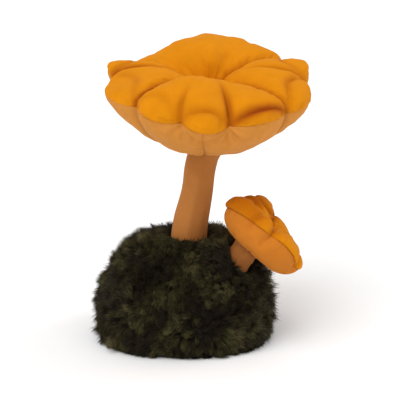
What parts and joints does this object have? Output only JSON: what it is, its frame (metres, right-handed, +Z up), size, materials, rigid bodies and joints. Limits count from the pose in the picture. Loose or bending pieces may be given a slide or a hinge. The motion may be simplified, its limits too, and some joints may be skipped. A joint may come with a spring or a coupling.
{
  "type": "soft toy of chanterelle mushrooms on a mossy mound",
  "caption": "Plush soft toy: a tall and a short orange chanterelle mushroom with wavy padded caps, sewn onto a shaggy dark moss mound that stands on a flat base.",
  "frame": {"origin": "The middle of the underside of the mound's flat base panel, where the toy stands.", "axes": "+Z points up and is the longest extent, -Y is the front that the tall cap tips toward, and the short mushroom leans out to +X."},
  "size_m": [0.1404, 0.1332, 0.1873],
  "materials": {
    "orange_velour": "short-pile orange velour",
    "tan_velour": "short-pile tan velour",
    "stem_velour": "short-pile brown velour",
    "moss_fur": "long shaggy pile, dark green-brown",
    "base_cloth": "plain woven dark cloth",
    "fibre_filling": "loose white fibre",
    "pellet_bag": "plain cloth bag of pellets"
  },
  "bodies": {
    "root": {"mound_fur_cover": "moss_fur", "mound_base_panel": "base_cloth", "mound_filling": "fibre_filling", "mound_pellet_bag": "pellet_bag", "tall_stem_cover": "stem_velour", "tall_stem_filling": "fibre_filling", "short_stem_cover": "stem_velour", "short_stem_filling": "fibre_filling", "tall_cap_top_front": "orange_velour", "tall_cap_top_right": "orange_velour", "tall_cap_top_back": "orange_velour", "tall_cap_top_left": "orange_velour", "tall_cap_underside_front_right": "tan_velour", "tall_cap_underside_back_right": "tan_velour", "tall_cap_underside_back_left": "tan_velour", "tall_cap_underside_front_left": "tan_velour", "tall_cap_filling": "fibre_filling", "short_cap_top_right": "orange_velour", "short_cap_top_back": "orange_velour", "short_cap_top_left": "orange_velour", "short_cap_top_front": "orange_velour", "short_cap_underside_right": "tan_velour", "short_cap_underside_back": "tan_velour", "short_cap_underside_left": "tan_velour", "short_cap_underside_front": "tan_velour", "short_cap_filling": "fibre_filling"}
  },
  "joints": []
}
